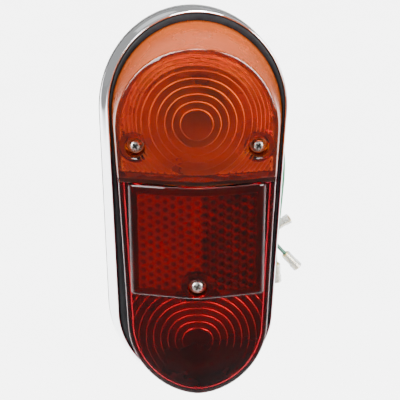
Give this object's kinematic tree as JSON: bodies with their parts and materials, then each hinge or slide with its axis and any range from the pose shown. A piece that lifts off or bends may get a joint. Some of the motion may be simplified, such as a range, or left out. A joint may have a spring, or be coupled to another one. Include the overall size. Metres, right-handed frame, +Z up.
{
  "type": "trailer tail light",
  "caption": "Long oval rear lamp with a tapered chrome plinth, an amber indicator lens over a red stop, tail and reflex lens, bayonet bulbs, mounting studs and wired leads.",
  "frame": {"origin": "on the back face of the base gasket, half way up the chrome plinth and under the lens ridge", "axes": "the lamp looks along -Y, +Z is up and +X is to the right of someone who looks at the lenses"},
  "size_m": [0.0985, 0.0668, 0.1923],
  "materials": {
    "foam_rubber": "matt",
    "black_rubber": "satin",
    "chrome": "polished",
    "white_steel": "gloss paint",
    "zinc_steel": "bright zinc plate",
    "brass": "plain",
    "amber_acrylic": "clear tinted, polished",
    "red_acrylic": "clear tinted, polished",
    "fibre": "pressed fibre",
    "black_glass": "opaque vitrite",
    "solder": "dull tinned",
    "clear_glass": "clear",
    "tungsten": "drawn wire",
    "spring_steel": "drawn wire",
    "green_pvc": "satin",
    "dark_green_pvc": "satin",
    "clear_pvc": "translucent"
  },
  "bodies": {
    "base": {"base_gasket": "foam_rubber", "mounting_studs": "zinc_steel", "flat_washers": "zinc_steel", "spring_washers": "spring_steel", "base_pan": "white_steel", "bezel": "chrome", "lens_seal": "black_rubber", "chamber_divider": "white_steel", "amber_pillars": "zinc_steel", "red_pillar": "zinc_steel", "amber_holder": "zinc_steel", "red_holder": "zinc_steel", "amber_boot": "black_rubber", "red_boot": "black_rubber", "amber_spring": "spring_steel", "red_spring": "spring_steel", "indicator_lead": "green_pvc", "stop_lead": "dark_green_pvc", "tail_lead": "green_pvc", "indicator_receptacle": "brass", "stop_receptacle": "brass", "tail_receptacle": "brass", "indicator_sleeve": "clear_pvc", "stop_sleeve": "clear_pvc", "tail_sleeve": "clear_pvc"},
    "red_lens_body": {"red_lens": "red_acrylic", "reflex_insert": "red_acrylic", "red_washer": "fibre"},
    "amber_lens_body": {"amber_lens": "amber_acrylic", "amber_washers": "fibre"},
    "left_amber_screw": {"left_amber_screw": "zinc_steel"},
    "right_amber_screw": {"right_amber_screw": "zinc_steel"},
    "red_screw": {"red_screw": "zinc_steel"},
    "upper_nut": {"upper_nut": "zinc_steel"},
    "lower_nut": {"lower_nut": "zinc_steel"},
    "amber_contacts": {"amber_disc": "fibre", "amber_plunger": "brass"},
    "amber_bulb": {"amber_bulb_cap": "brass", "amber_bulb_insulator": "black_glass", "amber_bulb_contact": "solder", "amber_bulb_glass": "clear_glass", "amber_filament": "tungsten"},
    "red_contacts": {"red_disc": "fibre", "red_plungers": "brass"},
    "red_bulb": {"red_bulb_cap": "brass", "red_bulb_insulator": "black_glass", "red_bulb_contacts": "solder", "red_bulb_glass": "clear_glass", "red_filaments": "tungsten"}
  },
  "joints": [
    {"name": "red_lens_lift", "type": "slide", "parent": "base", "child": "red_lens_body", "axis": [0, -1, 0], "range_m": [0, 0.05]},
    {"name": "amber_lens_lift", "type": "slide", "parent": "red_lens_body", "child": "amber_lens_body", "axis": [0, -1, 0], "range_m": [0, 0.05]},
    {"name": "left_amber_screw_turn", "type": "hinge", "parent": "amber_lens_body", "child": "left_amber_screw", "pos_m": [-0.027, -0.03, 0.041], "axis": [0, 1, 0], "continuous": true},
    {"name": "right_amber_screw_turn", "type": "hinge", "parent": "amber_lens_body", "child": "right_amber_screw", "pos_m": [0.027, -0.03, 0.041], "axis": [0, 1, 0], "continuous": true},
    {"name": "red_screw_turn", "type": "hinge", "parent": "red_lens_body", "child": "red_screw", "pos_m": [0, -0.03, -0.0235], "axis": [0, 1, 0], "continuous": true},
    {"name": "upper_nut_turn", "type": "hinge", "parent": "base", "child": "upper_nut", "pos_m": [0, 0.013, 0.076], "axis": [0, 1, 0], "continuous": true},
    {"name": "lower_nut_turn", "type": "hinge", "parent": "base", "child": "lower_nut", "pos_m": [0, 0.013, -0.074], "axis": [0, 1, 0], "continuous": true},
    {"name": "amber_contact_push", "type": "slide", "parent": "base", "child": "amber_contacts", "axis": [0, 1, 0], "range_m": [0, 0.0015], "stiffness_N_per_m": 2500, "springref_m": -0.003, "deforming": ["amber_spring"]},
    {"name": "amber_bulb_twist", "type": "hinge", "parent": "amber_contacts", "child": "amber_bulb", "pos_m": [0, 0.0094, 0.0525], "axis": [0, 1, 0], "range_deg": [-20, 0]},
    {"name": "red_contact_push", "type": "slide", "parent": "base", "child": "red_contacts", "axis": [0, 1, 0], "range_m": [0, 0.0015], "stiffness_N_per_m": 2500, "springref_m": -0.003, "deforming": ["red_spring"]},
    {"name": "red_bulb_twist", "type": "hinge", "parent": "red_contacts", "child": "red_bulb", "pos_m": [0, 0.0094, -0.0515], "axis": [0, 1, 0], "range_deg": [-20, 0]}
  ]
}
